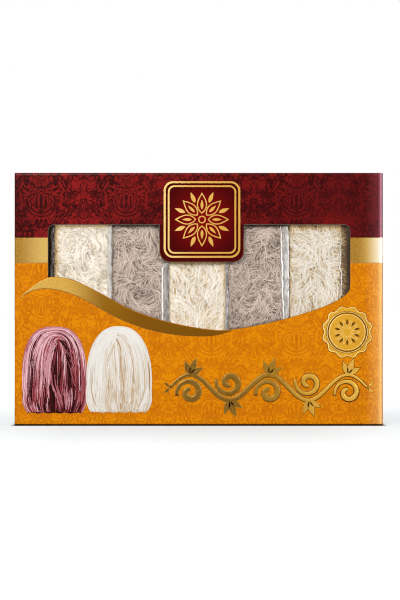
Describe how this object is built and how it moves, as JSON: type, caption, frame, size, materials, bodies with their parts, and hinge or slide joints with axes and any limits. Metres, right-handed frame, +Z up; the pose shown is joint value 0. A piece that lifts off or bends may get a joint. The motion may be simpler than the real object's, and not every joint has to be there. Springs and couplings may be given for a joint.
{
  "type": "boxed floss halva",
  "caption": "Upright windowed carton of folded board holding clear pouches of floss halva, with a wave-edged window and a hanging front tab.",
  "frame": {"origin": "middle of the carton's underside", "axes": "+Z up, front panel with the window towards -Y, +X to the right seen from the front"},
  "size_m": [0.26, 0.04, 0.1785],
  "materials": {
    "printed_board": "printed and varnished",
    "gold_foil": "satin stamped foil",
    "plain_floss": "fibrous",
    "cocoa_floss": "fibrous",
    "clear_film": "clear wrinkled film"
  },
  "bodies": {
    "root": {"carton": "printed_board", "pouch_1": "plain_floss", "pouch_2": "cocoa_floss", "pouch_3": "plain_floss", "pouch_4": "cocoa_floss", "pouch_5": "plain_floss"}
  },
  "joints": []
}
